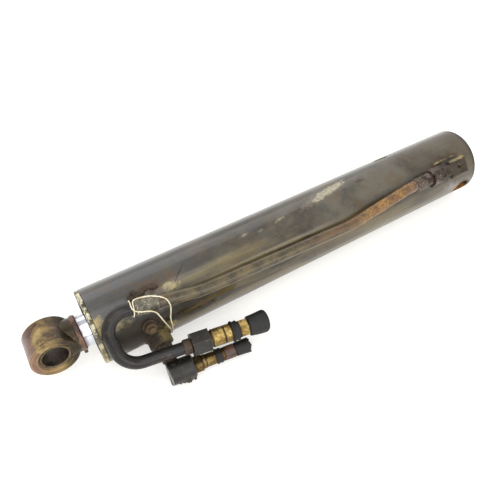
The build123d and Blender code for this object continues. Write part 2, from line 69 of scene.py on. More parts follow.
# ---- camera, floor, light ---------------------------------------------------
def add_camera():
    """Camera that looks down from the rod's end; right, up and back are its own axes."""
    right = Vector((-0.8515, 0.52435, 0.0))
    up = Vector((-0.39416, -0.64007, 0.65950))
    back = Vector((0.34581, 0.56157, 0.75170))
    data = bpy.data.cameras.new("camera")
    data.lens = 36.88
    data.sensor_width = 36
    data.clip_start = 0.01
    camera = bpy.data.objects.new("camera", data)
    turn = Matrix((right, up, back)).transposed().to_4x4()
    camera.matrix_world = Matrix.Translation((0.5938, 0.3853, 0.5219)) @ turn
    bpy.context.scene.collection.objects.link(camera)
    bpy.context.scene.camera = camera


def add_floor():
    """Pale floor under the part, lit a little from within so that it stays near white."""
    mesh = bpy.data.meshes.new("floor")
    reach = 40
    corners = [(-reach, -reach), (reach, -reach), (reach, reach), (-reach, reach)]
    mesh.from_pydata([(x, y, FLOOR_Z) for x, y in corners], [], [(0, 1, 2, 3)])
    floor = bpy.data.objects.new("floor", mesh)
    bpy.context.scene.collection.objects.link(floor)
    paint = bpy.data.materials.new("floor_paint")
    paint.use_nodes = True
    shader = paint.node_tree.nodes["Principled BSDF"]
    shader.inputs["Base Color"].default_value = (0.6, 0.6, 0.59, 1)
    shader.inputs["Emission Color"].default_value = (1.0, 0.995, 0.975, 1)
    shader.inputs["Emission Strength"].default_value = 0.55
    shader.inputs["Roughness"].default_value = 0.9
    shader.inputs["Specular IOR Level"].default_value = 0.1
    mesh.materials.append(paint)


def add_area(name, place, target, width, depth, power, colour):
    """Oblong lamp that is aimed at a target."""
    data = bpy.data.lights.new(name, "AREA")
    data.shape = "RECTANGLE"
    data.size = width
    data.size_y = depth
    data.energy = power
    data.color = colour
    lamp = bpy.data.objects.new(name, data)
    lamp.location = place
    aim = Vector(target) - Vector(place)
    lamp.rotation_euler = aim.to_track_quat("-Z", "Y").to_euler()
    bpy.context.scene.collection.objects.link(lamp)


def add_lights():
    """Soft lamps above, in front and behind, in a bright studio."""
    middle = (0.3, 0, 0)
    add_area("key", (0.9, 0.9, 2.4), middle, 2.2, 2.2, 24, (1.0, 0.99, 0.97))
    add_area("front", (0.2, 1.9, 0.9), (0.3, 0.1, 0), 2.2, 1.0, 16, (1.0, 0.985, 0.95))
    add_area("back", (0.0, -1.6, 1.3), middle, 2.2, 1.2, 9, (0.97, 0.98, 1.0))
    world = bpy.data.worlds.new("studio")
    world.use_nodes = True
    sky = world.node_tree.nodes["Background"]
    sky.inputs["Color"].default_value = (1.0, 0.995, 0.985, 1)
    sky.inputs["Strength"].default_value = 0.92
    bpy.context.scene.world = world


add_camera()
add_floor()
add_lights()
bpy.context.scene.view_settings.view_transform = "Standard"


# ---- material building ------------------------------------------------------
class Nodes:
    """Small helper that adds shader nodes and joins them."""

    def __init__(self, name):
        """New material whose patterns follow the part's own metres."""
        self.material = bpy.data.materials.new(name)
        self.material.use_nodes = True
        self.tree = self.material.node_tree
        self.shader = self.tree.nodes["Principled BSDF"]
        self.place = self.add("ShaderNodeTexCoord").outputs["Object"]

    def add(self, kind, **settings):
        """New node of a kind, with its settings."""
        node = self.tree.nodes.new(kind)
        for key, value in settings.items():
            setattr(node, key, value)
        return node

    def link(self, source, target):
        """Join an output to an input."""
        self.tree.links.new(source, target)

    def feed(self, socket, value):
        """Set a socket from a number, a colour or another socket."""
        if isinstance(value, bpy.types.NodeSocket):
            self.link(value, socket)
        elif isinstance(value, (tuple, list)) and len(value) == 3 and socket.type == "RGBA":
            socket.default_value = (*value, 1)
        else:
            socket.default_value = value

    def stretch(self, scale):
        """Object coordinates scaled by a vector, for streaks along or round an axis."""
        node = self.add("ShaderNodeVectorMath", operation="MULTIPLY")
        self.link(self.place, node.inputs[0])
        node.inputs[1].default_value = scale
        return node.outputs[0]

    def noise(self, scale, detail=6, rough=0.6, place=None, distortion=0.0):
        """Cloudy pattern; a larger scale is finer."""
        node = self.add("ShaderNodeTexNoise")
        self.link(place or self.place, node.inputs["Vector"])
        node.inputs["Scale"].default_value = scale
        node.inputs["Detail"].default_value = detail
        node.inputs["Roughness"].default_value = rough
        node.inputs["Distortion"].default_value = distortion
        return node.outputs["Fac"]

    def math(self, operation, a, b=0.0, clamp=False):
        """Sum on numbers or sockets, kept between 0 and 1 if clamped."""
        node = self.add("ShaderNodeMath", operation=operation, use_clamp=clamp)
        self.feed(node.inputs[0], a)
        self.feed(node.inputs[1], b)
        return node.outputs[0]

    def times(self, a, b):
        """One value times another, which keeps one mask inside another."""
        return self.math("MULTIPLY", a, b)

    def plus(self, a, b, clamp=False):
        """One value plus another."""
        return self.math("ADD", a, b, clamp)

    def minus(self, a, b):
        """One value less another."""
        return self.math("SUBTRACT", a, b)

    def most(self, a, b):
        """The larger of two values at each point, which joins two masks."""
        return self.math("MAXIMUM", a, b)

    def span(self, value, low, high, out_low=0.0, out_high=1.0):
        """Value mapped from one range to another and held at its ends."""
        node = self.add("ShaderNodeMapRange", interpolation_type="SMOOTHSTEP")
        self.feed(node.inputs["Value"], value)
        node.inputs["From Min"].default_value = low
        node.inputs["From Max"].default_value = high
        node.inputs["To Min"].default_value = out_low
        node.inputs["To Max"].default_value = out_high
        return node.outputs["Result"]

    def mix(self, share, a, b):
        """Mix of two colours."""
        node = self.add("ShaderNodeMix", data_type="RGBA")
        self.feed(node.inputs["Factor"], share)
        self.feed(node.inputs["A"], a)
        self.feed(node.inputs["B"], b)
        return node.outputs["Result"]

    def blend(self, share, a, b):
        """Mix of two numbers."""
        node = self.add("ShaderNodeMix", data_type="FLOAT")
        self.feed(node.inputs["Factor"], share)
        self.feed(node.inputs["A"], a)
        self.feed(node.inputs["B"], b)
        return node.outputs["Result"]

    def split(self):
        """The x, y and z of the object coordinates."""
        node = self.add("ShaderNodeSeparateXYZ")
        self.link(self.place, node.inputs[0])
        return node.outputs

    def near(self, centre, radii, ragged=0.6, scale=90):
        """Mask of a patch: 1 at its centre, falling to 0 with a ragged edge."""
        shift = self.add("ShaderNodeVectorMath", operation="SUBTRACT")
        self.link(self.place, shift.inputs[0])
        shift.inputs[1].default_value = centre
        shrink = self.add("ShaderNodeVectorMath", operation="DIVIDE")
        self.link(shift.outputs[0], shrink.inputs[0])
        shrink.inputs[1].default_value = radii
        size = self.add("ShaderNodeVectorMath", operation="LENGTH")
        self.link(shrink.outputs[0], size.inputs[0])
        rough = self.times(self.minus(self.noise(scale, 8, 0.7), 0.5), ragged * 4)
        edge = self.plus(size.outputs["Value"], rough)
        return self.span(edge, 0.4, 1.15, 1.0, 0.0)

    def patch(self, x, angle, half_x, half_arc, tilt=0.0, ragged=0.6, scale=90, soft=0.3):
        """Mask of a patch on the barrel's round, placed by x and angle; sizes are in metres."""
        px, py, pz = self.split()
        turn = self.minus(self.math("ARCTAN2", pz, py), math.radians(angle))
        along = self.minus(px, x)
        arc = self.times(turn, BARREL_R)
        arc = self.minus(arc, self.times(along, tilt))
        a = self.math("POWER", self.math("ABSOLUTE", self.math("DIVIDE", along, half_x)), 2)
        b = self.math("POWER", self.math("ABSOLUTE", self.math("DIVIDE", arc, half_arc)), 2)
        size = self.math("SQRT", self.plus(a, b))
        edge = self.minus(self.noise(scale, 7, 0.68), 0.5)
        return self.span(self.plus(size, self.times(edge, ragged * 4)), 1 - soft, 1.1, 1.0, 0.0)

    def stripe(self, start, direction, low, high, soft=0.3):
        """Mask of a band between two distances in mm along a line."""
        unit = Vector(direction).normalized()
        dot = self.add("ShaderNodeVectorMath", operation="DOT_PRODUCT")
        self.link(self.place, dot.inputs[0])
        dot.inputs[1].default_value = unit
        offset = Vector(start).dot(unit)
        rise_to = offset + low * MM
        rise = self.span(dot.outputs["Value"], rise_to - soft * MM, rise_to)
        fall_from = offset + high * MM
        fall = self.span(dot.outputs["Value"], fall_from, fall_from + soft * MM, 1.0, 0.0)
        return self.times(rise, fall)

    def worn_edges(self, distance):
        """Mask of sharp edges within a distance, from the bevelled normal."""
        bevel = self.add("ShaderNodeBevel", samples=4)
        bevel.inputs["Radius"].default_value = distance
        flat = self.add("ShaderNodeNewGeometry").outputs["Normal"]
        dot = self.add("ShaderNodeVectorMath", operation="DOT_PRODUCT")
        self.link(bevel.outputs[0], dot.inputs[0])
        self.link(flat, dot.inputs[1])
        return self.span(dot.outputs["Value"], 0.99, 0.9, 0.0, 1.0)

    def bump(self, height, distance, strength=1.0):
        """Relief from a height pattern."""
        node = self.add("ShaderNodeBump")
        node.inputs["Strength"].default_value = strength
        node.inputs["Distance"].default_value = distance
        self.link(height, node.inputs["Height"])
        self.link(node.outputs[0], self.shader.inputs["Normal"])

    def finish(self, colour, roughness, metallic=0.0, specular=0.5, coat=0.0, coat_rough=0.1):
        """Join the patterns to the shader and hand back the material."""
        self.feed(self.shader.inputs["Base Color"], colour)
        self.feed(self.shader.inputs["Roughness"], roughness)
        self.feed(self.shader.inputs["Metallic"], metallic)
        self.shader.inputs["Specular IOR Level"].default_value = specular
        self.feed(self.shader.inputs["Coat Weight"], coat)
        self.shader.inputs["Coat Roughness"].default_value = coat_rough
        return self.material


# ---- mesh building ----------------------------------------------------------
SHARP_ANGLE = 40  # degrees
CORNER_STEPS = 3
BEAD_RIPPLE = 2.4  # mm


def axes(direction):
    """Unit vectors along, level across and upward across a direction."""
    along = Vector(direction).normalized()
    across = Vector((0, 0, 1)).cross(along).normalized()
    return along, across, along.cross(across)


def wobble(place, scale, seed=0.0):
    """Smooth noise from -1 to 1 at a place in metres, for a feature size in metres."""
    return noise.noise(Vector(place) / scale + Vector((seed, seed * 1.7, -seed)))


def add_piece(name, mesh, body, slot, paint=None, replaces=()):
    """Piece that rides on a body, in the paint of its slot unless another is named."""
    piece = bpy.data.objects.new(name, mesh)
    bpy.context.scene.collection.objects.link(piece)
    mesh.materials.clear()
    mesh.materials.append(paints[paint or slot])
    mesh.shade_smooth()
    mesh.set_sharp_from_angle(angle=math.radians(SHARP_ANGLE))
    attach(piece, body)
    if replaces:
        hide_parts(*replaces)
    return piece


def skin(name, rings, looped=False):
    """Mesh through equal rings of points, with a fan over each end unless it is looped."""
    work = bmesh.new()
    made = [[work.verts.new(p) for p in ring] for ring in rings]
    count = len(made[0])
    pairs = list(zip(made, made[1:]))
    if looped:
        pairs.append((made[-1], made[0]))
    for a, b in pairs:
        for k in range(count):
            m = (k + 1) % count
            work.faces.new((a[k], a[m], b[m], b[k]))
    if not looped:
        for ring in (made[0], made[-1]):
            middle = work.verts.new(sum((v.co for v in ring), Vector()) / count)
            for k in range(count):
                work.faces.new((ring[k], ring[(k + 1) % count], middle))
    bmesh.ops.recalc_face_normals(work, faces=work.faces)
    mesh = bpy.data.meshes.new(name)
    work.to_mesh(mesh)
    work.free()
    return mesh


def lathe(name, start, direction, outline, rough, grain, segments=72, looped=False, shape=None):
    """Turned mesh through (distance, radius) points in mm, rippled by rough mm over grain metres.

    shape(distance, radius, turn) may move a point by its turn angle.
    """
    along, across, up = axes(direction)
    rings = []
    for distance, radius in outline:
        ring = []
        for k in range(segments):
            a = 2 * math.pi * k / segments
            out = across * math.cos(a) + up * math.sin(a)
            d, r = shape(distance, radius, a) if shape else (distance, radius)
            place = Vector(start) + along * (d * MM) + out * (r * MM)
            ring.append(place + out * (wobble(place, grain) * rough * MM))
        rings.append(ring)
    return skin(name, rings, looped=looped)


def rounded(outline, size):
    """Open outline with each corner between its ends cut by a small curve of that size in mm."""
    made = [outline[0]]
    for before, here, after in zip(outline, outline[1:], outline[2:]):
        here = Vector(here)
        back = Vector(before) - here
        ahead = Vector(after) - here
        first = here + back.normalized() * min(size, back.length * 0.45)
        last = here + ahead.normalized() * min(size, ahead.length * 0.45)
        for j in range(CORNER_STEPS + 1):
            t = j / CORNER_STEPS
            made.append(tuple(first * (1 - t) ** 2 + here * 2 * t * (1 - t) + last * t ** 2))
    made.append(outline[-1])
    return made


def radial(place):
    """Outward from the barrel's axis."""
    return Vector((0, place.y, place.z))


def bead(name, path, radius, sides=12, seed=0.0, lumps=0.28, flat=0.62):
    """Weld bead: a lumpy tube of a radius in mm along points, flattened against the barrel."""
    points = [Vector(p) for p in path]
    rings = []
    travelled = 0.0
    for k, place in enumerate(points):
        ahead = points[min(k + 1, len(points) - 1)] - points[max(k - 1, 0)]
        along = ahead.normalized()
        out = radial(place).normalized()
        side = along.cross(out).normalized()
        if k:
            travelled += (place - points[k - 1]).length / MM
        end = min(k, len(points) - 1 - k)
        swell = 0.35 + 0.65 * min(1, end / 4)
        ripple = 0.1 * math.sin(travelled * 2 * math.pi / BEAD_RIPPLE)
        swell *= 1 + ripple + lumps * wobble(place, 0.006, seed)
        ring = []
        for j in range(sides):
            a = 2 * math.pi * j / sides
            offset = side * (math.cos(a) * radius) + out * (math.sin(a) * radius * flat)
            grit = 1 + lumps * 0.5 * wobble(place + offset * MM, 0.0022, seed + 5)
            ring.append(place + offset * swell * grit * MM)
        rings.append(ring)
    return skin(name, rings)


# ---- tied string ------------------------------------------------------------
STRING_D = 0.0016
STRANDS = 3
STRING_PITCH = 0.0042
STRING_SIDES = 18
STRING_STEP = 0.0005
STRING_ROUTE = [
    (0.4960, 0.0275, -0.0407), (0.4960, 0.0376, -0.0316), (0.4960, 0.0449, -0.0200),
    (0.4960, 0.0485, -0.0077), (0.4969, 0.0524, 0.0090), (0.4978, 0.0529, 0.0220),
    (0.4955, 0.0526, 0.0320), (0.4938, 0.0512, 0.0455), (0.4975, 0.0470, 0.0560),
    (0.5108, 0.0384, 0.0585), (0.5206, 0.0364, 0.0601), (0.5275, 0.0353, 0.0604),
    (0.5317, 0.0363, 0.0601), (0.5333, 0.0449, 0.0577), (0.5355, 0.0481, 0.0495),
    (0.5368, 0.0434, 0.0419), (0.5366, 0.0345, 0.0407), (0.5352, 0.0281, 0.0470),
    (0.5342, 0.0291, 0.0559), (0.5345, 0.0368, 0.0607), (0.5361, 0.0459, 0.0584),
    (0.5300, 0.0497, 0.0544), (0.5177, 0.0514, 0.0501), (0.5115, 0.0518, 0.0425),
    (0.5086, 0.0526, 0.0320), (0.5038, 0.0523, 0.0140), (0.5002, 0.0502, 0.0000),
    (0.4982, 0.0485, -0.0077), (0.4982, 0.0449, -0.0200), (0.4982, 0.0376, -0.0316),
    (0.4982, 0.0275, -0.0407),
]


def nurbs_points(route):
    """Points along the smooth line that has the route as its control points."""
    data = bpy.data.curves.new("route", "CURVE")
    data.dimensions = "3D"
    data.resolution_u = 12
    spline = data.splines.new("NURBS")
    spline.points.add(len(route) - 1)
    for point, place in zip(spline.points, route):
        point.co = (*place, 1)
    spline.order_u = 3
    spline.use_endpoint_u = True
    holder = bpy.data.objects.new("route", data)
    bpy.context.scene.collection.objects.link(holder)
    bpy.context.view_layer.update()
    line = bpy.data.meshes.new_from_object(holder)
    points = [v.co.copy() for v in line.vertices]
    bpy.data.objects.remove(holder)
    bpy.data.meshes.remove(line)
    return points


def twisted(name, points, diameter):
    """String of twisted strands: a tube whose lobed section turns as it runs along."""
    rings = []
    turned = 0.0
    out = Vector((0, 0, 1))
    for k, place in enumerate(points):
        along = (points[min(k + 1, len(points) - 1)] - points[max(k - 1, 0)]).normalized()
        out = (out - along * out.dot(along)).normalized()
        side = along.cross(out)
        if k:
            turned += (place - points[k - 1]).length / STRING_PITCH * 2 * math.pi
        ring = []
        for j in range(STRING_SIDES):
            a = 2 * math.pi * j / STRING_SIDES
            lobe = math.cos(STRANDS * (a - turned / STRANDS))
            reach = diameter / 2 * (0.86 + 0.14 * lobe)
            ring.append(place + (out * math.cos(a) + side * math.sin(a)) * reach)
        rings.append(ring)
    return skin(name, rings)


def divided(points, step):
    """The same line with points no further apart than a step, for a mesh that follows it."""
    made = [points[0]]
    for a, b in zip(points, points[1:]):
        count = max(1, math.ceil((b - a).length / step))
        made.extend(a.lerp(b, (j + 1) / count) for j in range(count))
    return made


# ---- materials --------------------------------------------------------------
def barrel_ground(m, cloud, fine_streak):
    """Paint before its marks, grey on top and olive below as painted sky and floor reflections, with
    the mask of its underside's painted floor reflection.
    """
    x, _, z = m.split()
    # grey on top, olive below: painted reflection of the sky above and the floor below
    height = m.span(z, 0.012, 0.044)
    long_streak = m.noise(9, 5, 0.55, m.stretch((1, 7, 7)))
    blotch = m.noise(38, 8, 0.68)
    olive = m.mix(m.span(long_streak, 0.38, 0.64), (0.022, 0.016, 0.007), (0.11, 0.082, 0.035))
    grey = m.mix(m.span(cloud, 0.38, 0.64), (0.038, 0.032, 0.023), (0.105, 0.092, 0.068))
    colour = m.mix(m.times(height, m.span(cloud, 0.25, 0.6, 0.75, 1.0)), olive, grey)
    rod_end = m.span(x, 0.36, 0.54)
    colour = m.mix(m.times(m.times(rod_end, height), 0.75), colour, (0.066, 0.066, 0.068))
    # pale olive streaks on the underside, short of the rod end: painted reflection of the floor
    under = m.times(m.span(z, -0.004, -0.02), m.span(x, 0.44, 0.38))
    streaked = m.times(under, m.span(long_streak, 0.3, 0.6, 0.4, 0.8))
    colour = m.mix(streaked, colour, (0.115, 0.095, 0.042))
    colour = m.mix(m.span(blotch, 0.51, 0.64, 0, 0.6), colour, (0.095, 0.06, 0.027))
    colour = m.mix(m.span(blotch, 0.45, 0.32, 0, 0.6), colour, (0.042, 0.05, 0.053))
    cap_end = m.span(m.plus(x, m.times(blotch, 0.2)), 0.24, 0.08, 0, 0.65)
    colour = m.mix(cap_end, colour, (0.085, 0.064, 0.036))
    colour = m.mix(m.span(fine_streak, 0.56, 0.74, 0, 0.5), colour, (0.18, 0.145, 0.078))
    colour = m.mix(m.span(fine_streak, 0.38, 0.22, 0, 0.55), colour, (0.024, 0.02, 0.013))
    return colour, under


def barrel_bands(m, colour, fine_streak):
    """Golden bands, painted shade and painted highlight beside the pipe and the loop, with the mask
    of the painted shade.
    """
    # golden olive bands above the pipe
    band = m.most(m.patch(0.43, 58, 0.12, 0.012, 0.0, 0.3, 20, 0.95),
                  m.times(m.patch(0.40, 44, 0.12, 0.005, 0.0, 0.3, 26, 0.95), 0.8))
    streaked = m.times(band, m.span(fine_streak, 0.35, 0.65, 0.4, 0.95))
    colour = m.mix(streaked, colour, (0.19, 0.15, 0.068))
    # lighter olive just above the pipe: painted light that lifts the shade where the pipe meets the
    # barrel
    beside = m.patch(0.34, 43.5, 0.14, 0.004, 0.031, 0.2, 40, 0.9)
    colour = m.mix(m.times(beside, 0.75), colour, (0.185, 0.148, 0.072))
    # gold bare patches round the loop
    gold = m.patch(0.573, 49, 0.013, 0.012, 0.3, 0.55, 60)
    for spot in ((0.552, 38, 0.014, 0.007), (0.507, -2, 0.016, 0.014), (0.482, 58, 0.011, 0.0055)):
        gold = m.most(gold, m.patch(*spot, 0.2, 0.8, 70))
    gold = m.times(gold, m.span(m.noise(110, 8, 0.7), 0.36, 0.6, 0.15, 1.0))
    colour = m.mix(m.times(gold, 0.9), colour, (0.42, 0.33, 0.13))
    # painted shade inside the loop and under the pipe's rod end
    painted_shade = m.most(m.patch(0.535, 10, 0.045, 0.032, 0.0, 0.35, 40, 0.5),
                   m.patch(0.46, 26, 0.09, 0.008, 0.0, 0.4, 40, 0.8))
    colour = m.mix(m.times(painted_shade, 0.93), colour, (0.016, 0.011, 0.006))
    # painted shadow line along the pipe's lower side, with a painted highlight line below it
    line = m.patch(0.34, 22.2, 0.18, 0.0019, 0.031, 0.12, 60, 0.7)
    colour = m.mix(m.times(line, 0.85), colour, (0.014, 0.011, 0.007))
    light = m.patch(0.32, 18.9, 0.16, 0.001, 0.031, 0.12, 60, 0.8)
    colour = m.mix(m.times(light, 0.7), colour, (0.42, 0.37, 0.22))
    return colour, painted_shade


def barrel_rust(m, colour):
    """Brown stains and rust freckles, with their masks."""
    stain = m.patch(0.513, 69, 0.032, 0.011, 0.0, 0.8, 70, 0.8)
    for spot in ((0.034, 42, 0.032, 0.022), (0.448, 11, 0.008, 0.004),
                 (0.176, 89, 0.008, 0.003), (0.113, 126, 0.012, 0.005)):
        stain = m.most(stain, m.patch(*spot, 0.0, 0.7, 70))
    broken = m.times(stain, m.span(m.noise(90, 8, 0.7), 0.3, 0.62, 0.3, 0.9))
    colour = m.mix(broken, colour, (0.075, 0.047, 0.027))
    # freckles lie mostly towards the cap end
    freckle = m.span(m.noise(46, 9, 0.74), 0.66, 0.7)
    freckle = m.times(freckle, m.span(m.split()[0], 0.36, 0.05, 0.1, 0.9))
    colour = m.mix(m.times(freckle, 0.8), colour, (0.13, 0.055, 0.02))
    return colour, stain, freckle


def barrel_scuffs(m, colour):
    """Long pale scuff that slants over the top, small chips, and one dark scratch."""
    pale = m.patch(0.226, 97, 0.033, 0.0066, -0.2, 0.6, 110)
    worn = m.times(m.patch(0.240, 93, 0.048, 0.008, -0.2, 0.9, 120, 0.6), 0.7)
    dots = m.span(m.noise(800, 3, 0.5), 0.46, 0.56, 0.1, 0.9)
    for chip in ((0.3145, 83.3, 0.008, 0.0024), (0.3696, 83.4, 0.007, 0.002),
                 (0.484, 59, 0.009, 0.005), (0.346, 79, 0.004, 0.0014)):
        pale = m.most(pale, m.times(m.patch(*chip, -0.2, 1.1, 330), dots))
    grit = m.span(m.noise(330, 5, 0.65), 0.34, 0.56, 0.4, 1.0)
    colour = m.mix(worn, colour, (0.15, 0.125, 0.085))
    colour = m.mix(m.times(m.times(pale, grit), 0.92), colour, (0.4, 0.365, 0.265))
    scratch = m.patch(0.466, 71, 0.0105, 0.0012, -0.88, 0.22, 120)
    colour = m.mix(m.times(scratch, 0.9), colour, (0.02, 0.018, 0.016))
    return colour, pale, scratch


def barrel_paint():
    """Worn paint of the barrel: its ground, bands, rust and scuffs, then its ends and relief."""
    m = Nodes("barrel_paint")
    cloud = m.noise(14, 7, 0.62)
    fine_streak = m.noise(60, 6, 0.65, m.stretch((0.35, 6, 6)))
    grain = m.noise(420, 4, 0.6)
    colour, under = barrel_ground(m, cloud, fine_streak)
    colour, painted_shade = barrel_bands(m, colour, fine_streak)
    colour, stain, freckle = barrel_rust(m, colour)
    colour, pale, scratch = barrel_scuffs(m, colour)
    edge = m.times(m.worn_edges(0.0016), m.span(m.noise(160, 6, 0.7), 0.35, 0.6))
    colour = m.mix(m.times(edge, 0.6), colour, (0.2, 0.16, 0.09))
    # pale grey patch beside the base bore, and the dark rim and face at the cap end
    tint = m.times(m.patch(0.028, 4, 0.016, 0.012, 0.3, 0.7, 60, 0.95), 0.5)
    colour = m.mix(tint, colour, (0.3, 0.29, 0.3))
    face = m.span(m.split()[0], -0.012, -0.0195)
    colour = m.mix(m.times(face, 0.85), colour, (0.022, 0.018, 0.013))
    rough = m.plus(m.span(cloud, 0.3, 0.75, 0.2, 0.36), m.times(grain, 0.06))
    rough = m.plus(rough, m.times(m.most(m.most(stain, freckle), painted_shade), 0.25), True)
    relief = m.plus(m.times(grain, 0.25), m.times(fine_streak, 0.5))
    relief = m.minus(relief, m.times(m.most(pale, scratch), 0.6))
    relief = m.plus(relief, m.times(m.most(freckle, stain), 0.5))
    m.bump(relief, 0.0006, 0.35)
    dull = m.most(painted_shade, m.most(pale, stain))
    dull = m.most(dull, m.times(under, 0.75))
    return m.finish(colour, rough, 0.0, 0.3, m.blend(dull, 0.5, 0.0), 0.12)


def gland_paint():
    """Yellow-cream paint over dark steel, flaked off along its outer edges."""
    m = Nodes("gland_paint")
    z = m.split()[2]
    patch = m.span(m.noise(95, 8, 0.72), 0.45, 0.55)
    crumbs = m.span(m.noise(240, 6, 0.7), 0.48, 0.6)
    upper = m.span(z, 0.005, 0.03)
    cream = m.mix(m.noise(50, 5), (0.42, 0.32, 0.12), (0.62, 0.52, 0.27))
    cream = m.mix(upper, cream, (0.68, 0.63, 0.45))
    dark = m.mix(crumbs, (0.03, 0.027, 0.018), (0.13, 0.1, 0.04))
    bare = m.times(patch, m.span(z, -0.03, 0.045, 0.5, 1.0))
    outer = m.times(m.worn_edges(0.0016), m.span(m.noise(130, 7, 0.7), 0.36, 0.56))
    bare = m.most(bare, outer)
    colour = m.mix(bare, cream, dark)
    m.bump(m.minus(m.times(crumbs, 0.3), bare), 0.0008, 0.9)
    return m.finish(colour, m.blend(bare, 0.38, 0.6), 0.0, 0.5, 0.1, 0.2)


def hard_chrome():
    """Bright rod with fine turned lines, darker beside the collar with painted shade."""
    m = Nodes("hard_chrome")
    lines = m.noise(900, 2, 0.5, m.stretch((1, 0.05, 0.05)))
    smear = m.noise(30, 5, 0.6)
    colour = m.mix(m.span(smear, 0.35, 0.7), (0.6, 0.61, 0.67), (0.72, 0.73, 0.79))
    # darker ring beside the collar: painted shade and dark reflection on the chrome
    collar_shade = m.times(m.span(m.split()[0], 0.588, 0.5925), m.span(smear, 0.35, 0.6, 0.4, 1.0))
    colour = m.mix(m.times(collar_shade, 0.8), colour, (0.12, 0.085, 0.1))
    m.bump(lines, 0.00005, 0.3)
    return m.finish(colour, m.span(smear, 0.3, 0.75, 0.05, 0.2), 1.0)


def machined_steel(name, dark, light):
    """Bare steel with turning rings, between a dark and a light colour."""
    m = Nodes(name)
    cloud = m.noise(120, 6, 0.6)
    rings = m.noise(800, 2, 0.5, m.stretch((1, 0.08, 0.08)))
    colour = m.mix(m.span(cloud, 0.35, 0.7), dark, light)
    m.bump(rings, 0.0001, 0.35)
    return m.finish(colour, m.span(cloud, 0.3, 0.7, 0.25, 0.45), 0.95)


def eye_forging():
    """Oily forging: gold where rubbed, pinkish brown on its nose; painted shade towards the rod and
    on its neck, painted gold highlights on its crown and low on the collar.
    """
    m = Nodes("eye_forging")
    x, _, z = m.split()
    broad = m.noise(26, 6, 0.6, None, 0.8)
    middle = m.noise(70, 7, 0.66)
    fine = m.noise(380, 6, 0.7)
    colour = m.mix(m.span(broad, 0.42, 0.58), (0.05, 0.03, 0.016), (0.24, 0.16, 0.062))
    nose = m.times(m.span(x, 0.632, 0.652), m.span(z, -0.03, 0.005))
    nose = m.times(nose, m.span(middle, 0.4, 0.6, 0.35, 0.85))
    colour = m.mix(nose, colour, (0.24, 0.13, 0.105))
    # dark olive on the side towards the rod: painted shade
    shade = m.plus(x, m.times(m.minus(middle, 0.5), 0.02))
    colour = m.mix(m.times(m.span(shade, 0.629, 0.612), 0.88), colour, (0.036, 0.027, 0.012))
    colour = m.mix(m.span(middle, 0.53, 0.62, 0, 0.65), colour, (0.17, 0.085, 0.075))
    colour = m.mix(m.span(middle, 0.42, 0.3, 0, 0.7), colour, (0.055, 0.035, 0.02))
    edge = m.times(m.worn_edges(0.0026), m.span(middle, 0.36, 0.56, 0.15, 1.0))
    colour = m.mix(m.times(edge, 0.7), colour, (0.5, 0.36, 0.14))
    # gold patch on top of the eye: painted highlight
    crown = m.near((0.636, 0.012, 0.026), (0.009, 0.022, 0.016), 0.9, 60)
    crown = m.times(crown, m.span(middle, 0.42, 0.58))
    colour = m.mix(m.times(crown, 0.7), colour, (0.52, 0.39, 0.17))
    collar = m.span(x, 0.6003, 0.5997)
    purple = m.mix(m.span(middle, 0.42, 0.58), (0.055, 0.03, 0.028), (0.16, 0.085, 0.068))
    # olive gold on the collar's lower part: painted highlight
    lower = m.times(m.span(z, 0.014, 0.002), m.span(broad, 0.38, 0.56))
    purple = m.mix(lower, purple, (0.19, 0.125, 0.05))
    colour = m.mix(m.times(collar, 0.85), colour, purple)
    # dark band over the neck between the eye and the collar: painted shade
    neck = m.times(m.span(x, 0.5996, 0.5998), m.span(x, 0.618, 0.61))
    colour = m.mix(m.times(neck, 0.85), colour, (0.027, 0.0185, 0.0075))
    colour = m.mix(m.span(fine, 0.6, 0.72, 0, 0.65), colour, (0.025, 0.016, 0.01))
    rough = m.span(m.plus(broad, m.times(fine, 0.4)), 0.5, 0.9, 0.2, 0.5)
    m.bump(m.plus(m.times(middle, 0.7), m.times(fine, 0.3)), 0.001, 0.5)
    return m.finish(colour, rough, 0.55, 0.5)


def worn_bush():
    """Bush bores: dark and oily, with orange rust in the base and a rubbed gold rim in the eye."""
    m = Nodes("worn_bush")
    x, _, z = m.split()
    low = m.minus(z, m.times(x, 0.6))
    base = m.times(m.span(x, 0.3, 0.29), m.span(low, -0.004, -0.013))
    cloud = m.noise(80, 7, 0.68)
    fine = m.noise(350, 6, 0.7)
    oily = m.mix(m.span(cloud, 0.4, 0.62), (0.028, 0.022, 0.018), (0.085, 0.06, 0.045))
    rust = m.mix(m.span(cloud, 0.36, 0.6), (0.16, 0.06, 0.018), (0.5, 0.24, 0.07))
    colour = m.mix(base, oily, rust)
    edge = m.times(m.worn_edges(0.0014), m.span(cloud, 0.35, 0.5, 0.3, 1.0))
    colour = m.mix(m.times(edge, 0.8), colour, (0.42, 0.3, 0.13))
    colour = m.mix(m.span(fine, 0.58, 0.7, 0, 0.6), colour, (0.02, 0.014, 0.01))
    m.bump(m.plus(m.times(fine, 0.5), cloud), 0.0006, 0.5)
    return m.finish(colour, m.span(cloud, 0.3, 0.7, 0.32, 0.6), 0.5)


